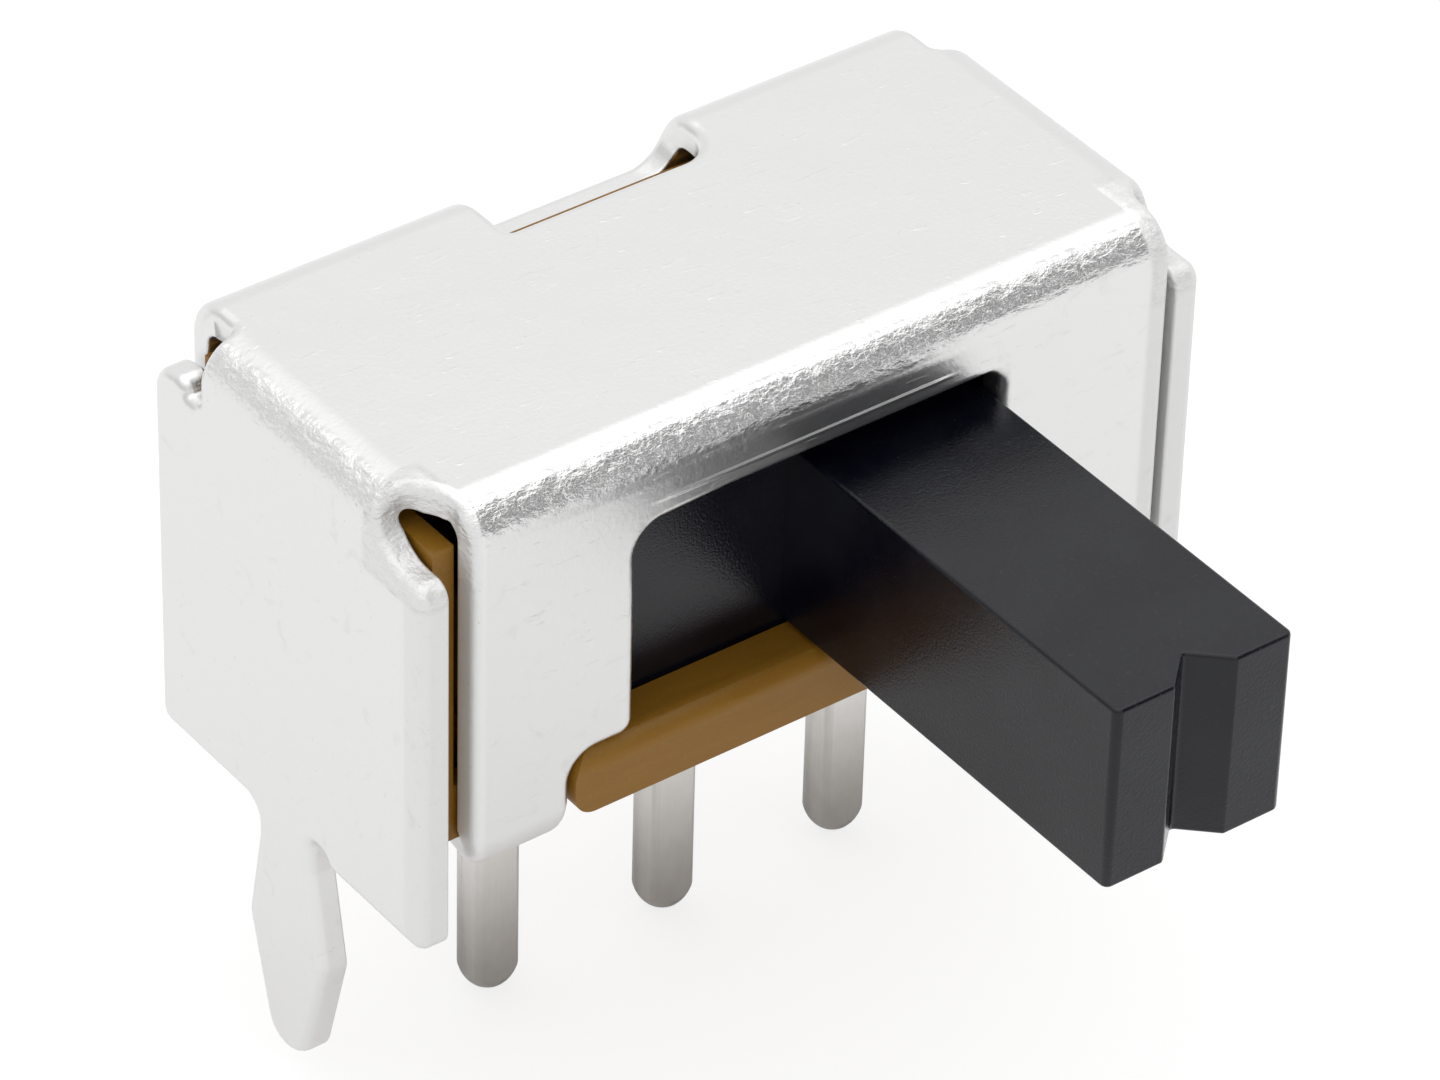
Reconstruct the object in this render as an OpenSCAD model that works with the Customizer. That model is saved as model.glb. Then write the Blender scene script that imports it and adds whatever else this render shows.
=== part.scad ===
// Right-angle slide switch for a circuit board, with two positions and three terminals.
// All sizes are millimetres. The origin lies on the centre terminal's axis, at the board's surface.
// +X is the way the actuator slides, the actuator points along -Y, and +Z is up.
// The slider is drawn at the +X end of its travel.

/* [Shell] */
// Length of the shell over its side walls
shell_l = 8.5; // [8.2:0.05:9.5]
// Depth of the shell from front wall to back wall
shell_d = 4.16; // [4:0.02:5]
// Height of the shell's top above the board
shell_h = 4.6; // [4.4:0.05:5.4]
// Distance from the terminal row forward to the front wall's outer face
front_reach = 2.2; // [2.1:0.02:2.4]
// Thickness of the folded sheet
sheet_t = 0.3; // [0.2:0.01:0.34]
// Inside radius of the sheet's folds
fold_r = 0.15; // [0.08:0.01:0.25]
// Gap between each end of the front wall and the side wall beside it
front_gap = 0.21; // [0.16:0.01:0.32]
// Gap between each end of the back wall and the side wall beside it
back_gap = 0.1; // [0.06:0.01:0.2]
// How far the free corners of the side walls stop below the top
wing_drop = 0.62; // [0.5:0.01:0.7]
// Radius of the side walls' free back corners
wing_r = 0.28; // [0.1:0.01:0.35]
// Diameter of the relief holes at the two front corners
front_relief_d = 0.96; // [0.86:0.01:1.04]
// How far those holes reach back from the front wall's outer face
front_relief_in = 0.8; // [0.7:0.01:0.9]
// Width of the relief notches at the two back corners
back_relief_d = 0.26; // [0.2:0.01:0.4]

/* [Window] */
// Height of the slot's upper edge above the board
slot_top = 3.76; // [3.6:0.01:3.85]
// Radius of the slot's upper corners
slot_r = 0.17; // [0.05:0.01:0.3]
// Width of the wide throat below the slot
throat_w = 5.32; // [5:0.02:5.5]
// Height of the throat's upper edge above the board
throat_top = 1.51; // [1.4:0.01:1.6]
// Radius of the throat's upper corners
throat_r = 0.28; // [0.1:0.01:0.4]

/* [Lance slot in the back fold] */
// How far the lance slot reaches into the top, from the back wall's outer face
lance_in = 0.87; // [0.7:0.01:1]
// How far the lance slot reaches down the back wall, from the top
lance_down = 0.58; // [0.5:0.01:0.7]
// Distance of the lance slot's square end from the middle, toward -X
lance_left = 1.05; // [0.6:0.05:1.6]
// Distance of the lance slot's round end from the middle, toward +X
lance_right = 1.22; // [0.8:0.02:1.6]

/* [Crimp tabs] */
// How far each tab reaches under the base, from the wall's outer face
tab_reach = 1.05; // [0.8:0.05:1.3]
// Radius of the corners at each tab's end
tab_r = 0.15; // [0.05:0.01:0.3]
// Depth of the seat in the base for each tab
tab_seat = 0.05; // [0.03:0.01:0.1]

/* [Ground legs] */
// Width of each leg's neck
neck_w = 0.83; // [0.6:0.01:0.95]
// Width of each leg at its widest
leg_w = 1.2; // [1:0.02:1.4]
// Depth of the widest place below the board's surface
leg_wide = 1.32; // [1:0.02:1.6]
// Length of each leg below the board's surface
leg_len = 2.6; // [2.3:0.05:3.2]
// Radius of each leg's tip
leg_tip_r = 0.33; // [0.15:0.01:0.38]
// Radius of the notch in front of each neck
neck_notch_r = 0.13; // [0.05:0.01:0.2]
// Radius of the fillet behind each neck
neck_fillet_r = 0.2; // [0.1:0.01:0.3]

/* [Base] */
// Height of the base's underside above the board
base_z = 0.82; // [0.75:0.01:0.9]
// Height of the base's deck above the board
deck_z = 1.74; // [1.68:0.01:1.85]
// Thickness of the base's end walls
end_wall = 0.22; // [0.15:0.01:0.3]
// Thickness of the base's back wall
back_wall = 0.3; // [0.2:0.01:0.4]
// Gap between the top of the base's walls and the shell
post_gap = 0.2; // [0.1:0.01:0.4]
// Radius of the lower corners of the lip in the window
lip_r = 0.22; // [0.1:0.01:0.28]
// Radius of the lip's front upper edge
lip_edge_r = 0.2; // [0.05:0.01:0.25]
// Width of the groove between the ledge and the deck, where the slider's rib runs
groove_w = 0.34; // [0.25:0.01:0.4]
// Depth of the groove below the ledge
groove_h = 0.34; // [0.2:0.01:0.4]

/* [Slider] */
// Width of the actuator along its travel
stem_w = 1.94; // [1.8:0.01:1.96]
// Height of the actuator
stem_h = 1.95; // [1.6:0.01:1.98]
// How far the actuator stands out from the front wall
stem_out = 4.05; // [3:0.05:6]
// Width of the notch across the actuator's end
notch_w = 0.68; // [0.3:0.02:0.9]
// Depth of the notch
notch_d = 0.32; // [0.2:0.02:0.5]
// Radius of the upright edges at the actuator's end
tip_r = 0.08; // [0.05:0.01:0.3]
// Travel between the two positions
travel = 2; // [1.8:0.01:2]
// Recess of the slider's face behind the front wall's inner face
body_recess = 0.28; // [0.15:0.01:0.32]
// Height of the guide rail at the top of the slider's face
rail_h = 0.34; // [0.2:0.01:0.36]

/* [Terminals] */
// Distance from one terminal to the next
pitch = 2; // [1.95:0.01:2.05]
// Width of a terminal along the row
pin_w = 0.48; // [0.42:0.01:0.5]
// Thickness of a terminal across the row
pin_t = 0.4; // [0.34:0.01:0.42]
// Length of a terminal below the board's surface
pin_len = 2.9; // [2.5:0.05:3.6]
// Radius of a terminal's tip, seen from the front
pin_tip_r = 0.2; // [0.1:0.01:0.2]
// Radius of a terminal's tip, seen from the side
pin_nose_r = 0.15; // [0.05:0.01:0.16]
// Height of a terminal's top above the board
pin_top = 2.72; // [2.5:0.02:2.8]
// Width of the shoulder that holds a terminal in the base
shoulder_w = 0.8; // [0.6:0.02:1]
// Height of that shoulder
shoulder_h = 0.3; // [0.2:0.01:0.4]

/* [Moving contact] */
// Length of the moving contact along the travel
clip_l = 2.9; // [2.7:0.02:3]
// Thickness of the contact's strip
clip_t = 0.12; // [0.08:0.01:0.15]
// Height of the contact's web above the terminals' tops
clip_clear = 0.22; // [0.15:0.01:0.3]
// Height of the contact's lower edges above the deck
clip_foot = 0.28; // [0.15:0.01:0.4]
// How far the contact's shoulders stand outside the pinch on the terminals
clip_flare = 0.1; // [0.06:0.01:0.14]

/* [Fits] */
// Clearance between the base and the shell around it
base_fit = 0.04; // [0.02:0.01:0.08]
// Clearance of the slider in the base and under the shell
slide_fit = 0.04; // [0.02:0.01:0.06]
// Clearance between a terminal and its hole in the base
pin_fit = 0.01; // [0.005:0.005:0.02]
// Clearance between the moving contact and a terminal
contact_fit = 0.01; // [0.005:0.005:0.02]
// Clearance of the moving contact in the slider's pocket
clip_fit = 0.03; // [0.02:0.01:0.05]
// Clearance between the base's lip and the throat around it
lip_fit = 0.04; // [0.02:0.01:0.08]
// Clearance between the actuator and each end of its slot at the end of the travel
slot_fit = 0.02; // [0.01:0.01:0.1]
// Clearance between the slider's body and the end wall where it stops
stop_fit = 0.02; // [0.01:0.01:0.1]

/* [Hidden] */
$fn = 64;
cut = 0.5;                               // spare length on cutting bodies
fold_out = fold_r + sheet_t;             // outside radius of a fold
front_y = -front_reach;                  // outer face of the front wall
back_y = shell_d - front_reach;          // outer face of the back wall
in_front = front_y + sheet_t;            // inner face of the front wall
in_back = back_y - sheet_t;
in_x = shell_l / 2 - sheet_t;            // inner face of a side wall
in_top = shell_h - sheet_t;
slot_w = stem_w + travel + 2 * slot_fit; // width of the slot that the actuator slides in
front_half = in_x - front_gap;           // half the front wall's length
back_half = in_x - back_gap;             // half the back wall's length
wing_z = shell_h - wing_drop;            // top of the side walls' free corners
wing_front_r = 0.18;                     // radius of the side walls' free front corners
foot_r = 0.1;                            // radius of the side walls' lower corners
fold_x = shell_l / 2 - fold_out;         // axis of the folds at the side walls
fold_z = shell_h - fold_out;
relief_out = 0.02;                       // how far a front relief bites into the edges that run into it
front_relief_y = front_y + front_relief_in - front_relief_d / 2;
front_relief_z = wing_z + front_relief_d / 2 - relief_out;
front_relief_x = front_half + front_relief_d / 2 - relief_out;
back_relief_y = back_y - fold_out - back_relief_d / 2 - 0.05;
back_relief_z = wing_z + back_relief_d / 2 - 0.1;
tab_z = base_z + tab_seat - base_fit / 2;        // upper face of a crimp tab
curl_z = tab_z + fold_r;                         // height of a tab's fold axis
lance_r = (lance_in - fold_out) * 0.85;
ledge_z = throat_top - lip_fit;          // top of the ledge in the window
body_front = in_front + body_recess;             // front face of the slider's body
ledge_y = body_front - slide_fit;        // back edge of the ledge
deck_y = ledge_y + groove_w;             // front edge of the deck
groove_z = ledge_z - groove_h;           // bottom of the groove
base_x = in_x - base_fit;                        // end face of the base
base_front = in_front + base_fit;
base_back = in_back - base_fit;
bay_x = base_x - end_wall;                       // inner face of an end wall
post_top = in_top - post_gap;
bay_back = base_back - back_wall;                // inner face of the base's back wall
body_back = bay_back - slide_fit;
body_z = deck_z + slide_fit;
body_top = in_top - slide_fit;
body_l = 2 * (bay_x - stop_fit) - travel;        // length of the slider's body along its travel
stem_z = ledge_z + slide_fit;            // underside of the actuator
slider_x = travel / 2;                           // middle of the slider as drawn
tip_y = front_y - stem_out;
pinch_y = pin_t / 2 + contact_fit;               // inner face of the contact at the pinch
clip_y = pinch_y + clip_flare;                   // inner face of the contact's shoulders
clip_z = pin_top + clip_clear;                   // underside of the contact's web
clip_low = deck_z + clip_foot;                   // lower edge of the contact's leaves
shoulder_z = base_z + 0.25;                      // underside of a terminal's shoulder

// A block given by two opposite corners
module block(a, b) {
    translate(a) cube(b - a);
}

// Moves a drawing in the plane (u, v) to u along Y and v along Z, with its depth along X
module facing_x(x0, x1) {
    translate([x0, 0, 0]) rotate([90, 0, 90]) linear_extrude(x1 - x0) children();
}

// Moves a drawing in the plane (u, v) to u along X and v along Z, with its depth along Y
module facing_y(y0, y1) {
    translate([0, y1, 0]) rotate([90, 0, 0]) linear_extrude(y1 - y0) children();
}

// A rectangle from (u0, v0) to (u1, v1) with its own radius at each corner:
// lower left, lower right, upper right, upper left
module plate(u0, v0, u1, v1, r) {
    corners = [[u0, v0, 1, 1], [u1, v0, -1, 1], [u1, v1, -1, -1], [u0, v1, 1, -1]];
    difference() {
        translate([u0, v0]) square([u1 - u0, v1 - v0]);
        for (i = [0:3]) if (r[i] > 0) translate([corners[i][0], corners[i][1]])
            scale_corner(corners[i][2], corners[i][3], r[i]);
    }
}

// What a rounded corner of radius r takes away, at the origin, toward (su, sv)
module scale_corner(su, sv, r) {
    spare = 0.1;
    difference() {
        translate([su > 0 ? -spare : -r, sv > 0 ? -spare : -r]) square(r + spare);
        translate([su * r, sv * r]) circle(r);
    }
}

// The section of the sheet where a wall of thickness t folds over into the top:
// the wall's outer face is at u = 0, and the top runs on to u = reach
module fold_section(foot, reach) {
    difference() {
        plate(0, foot, reach, shell_h, [0, 0, 0, fold_out]);
        plate(sheet_t, foot - cut, reach + cut, in_top, [0, 0, 0, fold_r]);
    }
}

// The section of a crimp tab: a curl under the base and a straight end
module tab_section() {
    difference() {
        plate(0, curl_z - fold_out, tab_reach, curl_z + sheet_t, [fold_out, 0, 0, 0]);
        plate(sheet_t, curl_z - fold_r, tab_reach + cut, curl_z + sheet_t + cut, [fold_r, 0, 0, 0]);
    }
}

// Front wall (side = 1) or back wall (side = -1), its fold, half of the top and its two tabs
module end_panel(side, half) {
    face = side > 0 ? front_y : back_y;
    middle = (front_y + back_y) / 2;
    translate([0, face, 0]) scale_y(side) {
        facing_x(-half, half) fold_section(curl_z, abs(face - middle));
        for (s = [-1, 1]) scale_x(s) crimp_tab(half);
    }
}

// The crimp tab on +X, from the throat to the wall's end
module crimp_tab(half) {
    difference() {
        facing_x(throat_w / 2, half) tab_section();
        for (end = [[throat_w / 2, 1], [half, -1]]) translate([end[0], tab_reach, curl_z - fold_out - cut])
            linear_extrude(sheet_t + 2 * cut) scale_corner(end[1], -1, tab_r);
    }
}

// Keeps (side = 1) or mirrors (side = -1) along X
module scale_x(side) {
    if (side > 0) children();
    else mirror([1, 0, 0]) children();
}

// Keeps (side = 1) or mirrors (side = -1) along Y
module scale_y(side) {
    if (side > 0) children();
    else mirror([0, 1, 0]) children();
}

// A ground leg below the edge v = 0: neck, widening and round tip
module leg_outline() {
    centre = [0, leg_tip_r - leg_len];
    wide = [leg_w / 2, -leg_wide];
    reach = norm(wide - centre);
    turn = atan2(wide[1] - centre[1], wide[0]) - acos(leg_tip_r / reach);
    touch = centre + leg_tip_r * [cos(turn), sin(turn)];
    neck = [neck_w / 2, -0.3];
    right = [[neck[0], foot_r + neck_notch_r], neck, wide, touch];
    left = [for (i = [len(right) - 1:-1:0]) [-right[i][0], right[i][1]]];
    polygon(concat(right, left));
    translate(centre) circle(leg_tip_r);
    translate([neck_w / 2, 0]) scale_corner(1, -1, neck_fillet_r);
}

// A side wall in its own plane, u along Y and v along Z
module side_outline() {
    difference() {
        union() {
            plate(front_y + 0.02, 0, back_y, wing_z, [foot_r, foot_r, wing_r, wing_front_r]);
            leg_outline();
        }
        translate([-neck_w / 2 - neck_notch_r, 0]) circle(neck_notch_r);
    }
}

// The two side walls and the folds that join them to the top
module side_panels() {
    for (s = [0, 1]) mirror([s, 0, 0]) {
        facing_x(-shell_l / 2, -in_x) side_outline();
        translate([-shell_l / 2, 0, 0])
            facing_y(front_relief_y, back_relief_y) fold_section(wing_z - 0.3, shell_l / 2);
    }
}

// One side of the plane that halves the fold at the -X wall: the top's (up = 1) or the wall's (up = 0).
// The top's side reaches a hair past that plane, so that no film is left between the two.
module fold_half(up) {
    axis = [-fold_x, fold_z];
    hair = 0.02;
    facing_y(front_y, front_y + front_relief_in + cut)
        polygon([axis, axis + [-1, up ? 1 - hair : 1], axis + (up ? [1, 1] : [-1, -1]),
                 axis + (up ? [1, 0] : [0, -1])]);
}

// The reliefs that free the folds from each other at the four corners. A front hole is cut in the flat
// sheet and bends with it, so the top has one half of a round hole and the wall the other.
module corner_reliefs() {
    fr = front_relief_d / 2;
    br = back_relief_d / 2;
    for (s = [0, 1]) mirror([s, 0, 0]) {
        intersection() {
            translate([-front_relief_x, front_relief_y, fold_z]) cylinder(r = fr, h = fold_out + cut);
            fold_half(1);
        }
        intersection() {
            translate([-shell_l / 2 - cut, front_relief_y, front_relief_z])
                rotate([0, 90, 0]) cylinder(r = fr, h = fold_out + cut);
            fold_half(0);
        }
        translate([-shell_l / 2 - cut, back_relief_y, back_relief_z])
            rotate([0, 90, 0]) cylinder(r = br, h = sheet_t + cut + fold_r);
        block([-shell_l / 2 - cut, back_relief_y - br, back_relief_z],
              [-back_half - br, back_relief_y + br, shell_h + cut]);
        translate([-back_half - br, back_relief_y, wing_z]) cylinder(r = br, h = wing_drop + cut);
    }
}

// The T-shaped window in the front wall
module window() {
    facing_y(front_y - cut, in_front + 0.1) {
        plate(-slot_w / 2, throat_top - 0.1, slot_w / 2, slot_top, [0, 0, slot_r, slot_r]);
        plate(-throat_w / 2, curl_z - cut, throat_w / 2, throat_top, [0, 0, throat_r, throat_r]);
    }
}

// The slot that was lanced through the fold at the back, with one square and one round end
module lance_slot() {
    lip_y = back_y - lance_in;
    turn_y = lip_y + lance_r;
    sill_z = shell_h - lance_down;
    middle = lance_right - lance_r;
    block([-lance_left, lip_y, sill_z], [middle, back_y + cut, shell_h + cut]);
    difference() {
        translate([middle, turn_y, sill_z]) cylinder(r = lance_r, h = lance_down + cut);
        block([middle - lance_r, turn_y, 0], [middle + lance_r, back_y + cut, shell_h + 2 * cut]);
    }
    facing_y(turn_y, back_y + cut) translate([middle, sill_z + lance_r]) {
        circle(lance_r);
        square([lance_r, lance_down + cut]);
    }
}

// Folded sheet shell: top, four walls, window, crimp tabs and ground legs in one piece
module shell() {
    color("gainsboro") difference() {
        union() {
            end_panel(1, front_half);
            end_panel(-1, back_half);
            side_panels();
        }
        window();
        corner_reliefs();
        lance_slot();
    }
}

// The lip of the base that fills the throat of the window, flush with the front wall
module base_lip() {
    half = throat_w / 2 - lip_fit;
    difference() {
        facing_y(front_y, base_front + 0.1) plate(-half, base_z, half, ledge_z, [lip_r, lip_r, throat_r, throat_r]);
        facing_x(-half, half) translate([front_y, ledge_z]) scale_corner(1, -1, lip_edge_r);
    }
}

// Moulded base: deck with the terminals, end walls, back wall, window lip and tab seats
module base() {
    edge_r = 0.1;
    color("peru") difference() {
        union() {
            block([-base_x, base_front, base_z], [base_x, base_back, ledge_z]);
            block([-base_x, deck_y, base_z], [base_x, base_back, deck_z]);
            for (s = [-1, 1]) block([s > 0 ? bay_x : -base_x, base_front, base_z],
                                    [s > 0 ? base_x : -bay_x, base_back, post_top]);
            block([-base_x, bay_back, deck_z - 0.1], [base_x, base_back, post_top]);
            base_lip();
        }
        block([-bay_x, ledge_y, groove_z], [bay_x, deck_y, deck_z + cut]);
        for (s = [-1, 1], face = [front_y, back_y]) {
            y0 = face < 0 ? base_front - cut : back_y - tab_reach - base_fit;
            y1 = face < 0 ? front_y + tab_reach + base_fit : base_back + cut;
            scale_x(s) block([throat_w / 2 - base_fit, y0, base_z - cut],
                             [base_x + cut, y1, base_z + tab_seat]);
        }
        for (s = [-1, 1], face = [0, 1]) translate([s * base_x, face == 0 ? base_front : base_back, base_z - cut])
            linear_extrude(post_top) scale_corner(-s, face == 0 ? 1 : -1, edge_r);
        for (i = [-1, 0, 1]) translate([i * pitch, 0, 0]) terminal_hole();
    }
}

// The hole for one terminal, with room for its shoulder from the underside up
module terminal_hole() {
    w = pin_w / 2 + pin_fit;
    t = pin_t / 2 + pin_fit;
    block([-w, -t, base_z - cut], [w, t, deck_z + cut]);
    block([-shoulder_w / 2 - pin_fit, -t, shoulder_z - pin_fit],
          [shoulder_w / 2 + pin_fit, t, shoulder_z + shoulder_h + pin_fit]);
}

// One terminal: round-nosed pin, shoulder and contact blade in one straight piece
module terminal(i) {
    blade_r = 0.08;
    color("silver") translate([i * pitch, 0, 0]) intersection() {
        facing_y(-pin_t / 2, pin_t / 2) {
            plate(-pin_w / 2, -pin_len, pin_w / 2, pin_top, [pin_tip_r, pin_tip_r, blade_r, blade_r]);
            translate([-shoulder_w / 2, shoulder_z]) square([shoulder_w, shoulder_h]);
        }
        facing_x(-shoulder_w, shoulder_w)
            plate(-pin_t / 2, -pin_len, pin_t / 2, pin_top, [pin_nose_r, pin_nose_r, blade_r, blade_r]);
    }
}

// Moulded slider: body, guide rail above, guide rib in the base's groove, actuator with its notch, and
// the pocket for the contact
module slider() {
    color("dimgray") translate([slider_x, 0, 0]) difference() {
        union() {
            block([-body_l / 2, body_front, body_z], [body_l / 2, body_back, body_top]);
            block([-body_l / 2, in_front + slide_fit, body_top - rail_h], [body_l / 2, body_front + 0.1, body_top]);
            block([-body_l / 2, body_front, groove_z + slide_fit], [body_l / 2, deck_y - slide_fit, body_z + 0.1]);
            translate([0, 0, stem_z]) linear_extrude(stem_h)
                plate(-stem_w / 2, tip_y, stem_w / 2, body_front + 0.1, [tip_r, tip_r, 0, 0]);
        }
        translate([0, 0, stem_z - cut]) linear_extrude(stem_h + 2 * cut)
            polygon([[-notch_w / 2, tip_y], [-notch_w / 2, tip_y - cut], [notch_w / 2, tip_y - cut],
                     [notch_w / 2, tip_y], [0, tip_y + notch_d]]);
        blade_y = pin_t / 2 + contact_fit + slide_fit;
        block([-body_l / 2 - cut, -blade_y, body_z - cut], [body_l / 2 + cut, blade_y, pin_top + slide_fit]);
        clip_room = clip_y + clip_t + clip_fit;
        block([-clip_l / 2 - clip_fit, -clip_room, body_z - cut],
              [clip_l / 2 + clip_fit, clip_room, clip_z + clip_t + clip_fit]);
    }
}

// Moving contact: a springy channel that straddles two terminals and rides in the slider
module moving_contact() {
    mouth_y = pinch_y + clip_flare / 2;
    pinch_low = clip_low + 0.18;
    pinch_high = pinch_low + 0.2;
    inner = [[0, clip_z], [clip_y, clip_z], [clip_y, pinch_high + 0.25], [pinch_y, pinch_high],
             [pinch_y, pinch_low], [mouth_y, clip_low]];
    outer = [for (i = [len(inner) - 1:-1:2]) [inner[i][0] + clip_t, inner[i][1]]];
    half = concat(inner, outer, [[clip_y + clip_t, clip_z + clip_t], [0, clip_z + clip_t]]);
    other_half = [for (i = [len(half) - 2:-1:1]) [-half[i][0], half[i][1]]];
    color("goldenrod") translate([slider_x, 0, 0]) facing_x(-clip_l / 2, clip_l / 2)
        polygon(concat(half, other_half));
}

shell();
base();
slider();
moving_contact();
terminal(-1);  // terminal_left
terminal(0);  // terminal_centre
terminal(1);  // terminal_right
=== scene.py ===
# %% [markdown]
# # A small slide switch for a circuit board
# The real object is about the size of a fingernail: a tinned sheet shell folded round an amber moulding, a
# black actuator that slides two millimetres, and three straight pins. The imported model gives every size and
# place. This lesson dresses it: finer folds, rounded edges and the finish of each surface.

# %% Load the frame
import math

import bmesh
import bpy
from mathutils import Matrix, Vector


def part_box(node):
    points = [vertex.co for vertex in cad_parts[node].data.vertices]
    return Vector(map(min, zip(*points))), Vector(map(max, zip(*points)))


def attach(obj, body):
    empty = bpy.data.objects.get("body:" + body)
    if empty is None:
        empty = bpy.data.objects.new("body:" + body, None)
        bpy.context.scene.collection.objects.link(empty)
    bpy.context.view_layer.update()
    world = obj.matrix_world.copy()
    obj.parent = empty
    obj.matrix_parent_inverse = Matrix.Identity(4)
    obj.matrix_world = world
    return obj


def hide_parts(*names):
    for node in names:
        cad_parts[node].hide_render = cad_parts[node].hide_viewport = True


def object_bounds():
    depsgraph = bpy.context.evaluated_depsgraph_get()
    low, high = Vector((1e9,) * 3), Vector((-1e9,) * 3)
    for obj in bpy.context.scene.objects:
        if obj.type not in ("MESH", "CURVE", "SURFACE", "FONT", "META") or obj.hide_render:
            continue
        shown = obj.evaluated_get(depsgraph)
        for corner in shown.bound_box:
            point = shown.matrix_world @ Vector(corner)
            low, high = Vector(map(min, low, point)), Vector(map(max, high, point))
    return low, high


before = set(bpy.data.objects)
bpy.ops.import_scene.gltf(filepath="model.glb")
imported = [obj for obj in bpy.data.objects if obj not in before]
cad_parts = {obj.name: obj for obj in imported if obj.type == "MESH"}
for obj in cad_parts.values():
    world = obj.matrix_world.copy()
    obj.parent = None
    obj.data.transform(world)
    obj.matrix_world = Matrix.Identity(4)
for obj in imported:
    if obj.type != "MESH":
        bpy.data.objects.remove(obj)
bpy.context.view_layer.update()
MM = 0.001


def box_mm(node):
    """The lowest and highest corner of a CAD node, in millimetres"""
    return [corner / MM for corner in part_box(node)]


# %% [markdown]
# ## The camera
# A photograph fixes where its camera stood. The camera could be placed by eye, but an outline that is a little off
# hides every other difference, so the direction, the distance and the length of the lens were found by matching
# corners of the switch. Seen from seven centimetres the actuator's end looks a little larger than its root.

# %% Camera
VIEW_AZIMUTH, VIEW_ELEVATION, VIEW_ROLL = (math.radians(a) for a in (-37.452, 37.423, -1.616))
AIM_MM = Vector((0, -1.5, 1.85))
CAMERA_SHIFT_MM = Vector((-0.449, 0.371))
CAMERA_DISTANCE_MM = 69.33
LENS, SENSOR = 194.83, 36.0

back = Vector((math.sin(VIEW_AZIMUTH) * math.cos(VIEW_ELEVATION),
               -math.cos(VIEW_AZIMUTH) * math.cos(VIEW_ELEVATION), math.sin(VIEW_ELEVATION)))
level_right = Vector((math.cos(VIEW_AZIMUTH), math.sin(VIEW_AZIMUTH), 0))
level_up = back.cross(level_right)
right = level_right * math.cos(VIEW_ROLL) - level_up * math.sin(VIEW_ROLL)
up = level_right * math.sin(VIEW_ROLL) + level_up * math.cos(VIEW_ROLL)
eye = AIM_MM + right * CAMERA_SHIFT_MM.x + up * CAMERA_SHIFT_MM.y + back * CAMERA_DISTANCE_MM

camera_data = bpy.data.cameras.new("camera")
camera_data.lens, camera_data.sensor_width, camera_data.sensor_fit = LENS, SENSOR, "HORIZONTAL"
camera_data.clip_start, camera_data.clip_end = 1 * MM, 2.0
camera = bpy.data.objects.new("camera", camera_data)
camera.matrix_world = Matrix.Translation(eye * MM) @ Matrix((right, up, back)).transposed().to_4x4()
bpy.context.scene.collection.objects.link(camera)
bpy.context.scene.camera = camera
print("camera in mm:", [round(c, 2) for c in eye])


# %% [markdown]
# ## Shader maths that reads like maths
# Blender's materials are graphs of small nodes. They could be wired by hand in the editor, or one call at a time,
# but neither reads like a formula. Here a Wire wraps one socket, so that a sum in Python adds the Math nodes for
# it. Finish is a material under construction: its node method places any other node.

# %% Wires and finishes
class Wire:
    """A socket that carries a number, a vector or a colour, with the arithmetic a shader needs"""

    def __init__(self, finish, socket):
        self.finish, self.socket = finish, socket

    def math(self, operation, *values):
        return self.finish.node("ShaderNodeMath", {"operation": operation}, dict(enumerate(values)))[0]

    def __add__(self, other):
        return self.math("ADD", self, other)

    def __sub__(self, other):
        return self.math("SUBTRACT", self, other)

    def __rsub__(self, other):
        return self.math("SUBTRACT", other, self)

    def __mul__(self, other):
        return self.math("MULTIPLY", self, other)

    def __neg__(self):
        return self.math("MULTIPLY", self, -1.0)

    def __abs__(self):
        return self.math("ABSOLUTE", self)

    def most(self, other):
        return self.math("MAXIMUM", self, other)

    def step(self, low, high):
        """0 below low, 1 above high, and smooth between them; low may be the larger"""
        kind = {"interpolation_type": "SMOOTHSTEP"}
        return self.finish.node("ShaderNodeMapRange", kind, {"Value": self, "From Min": low, "From Max": high})[0]

    __radd__, __rmul__ = __add__, __mul__


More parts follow.
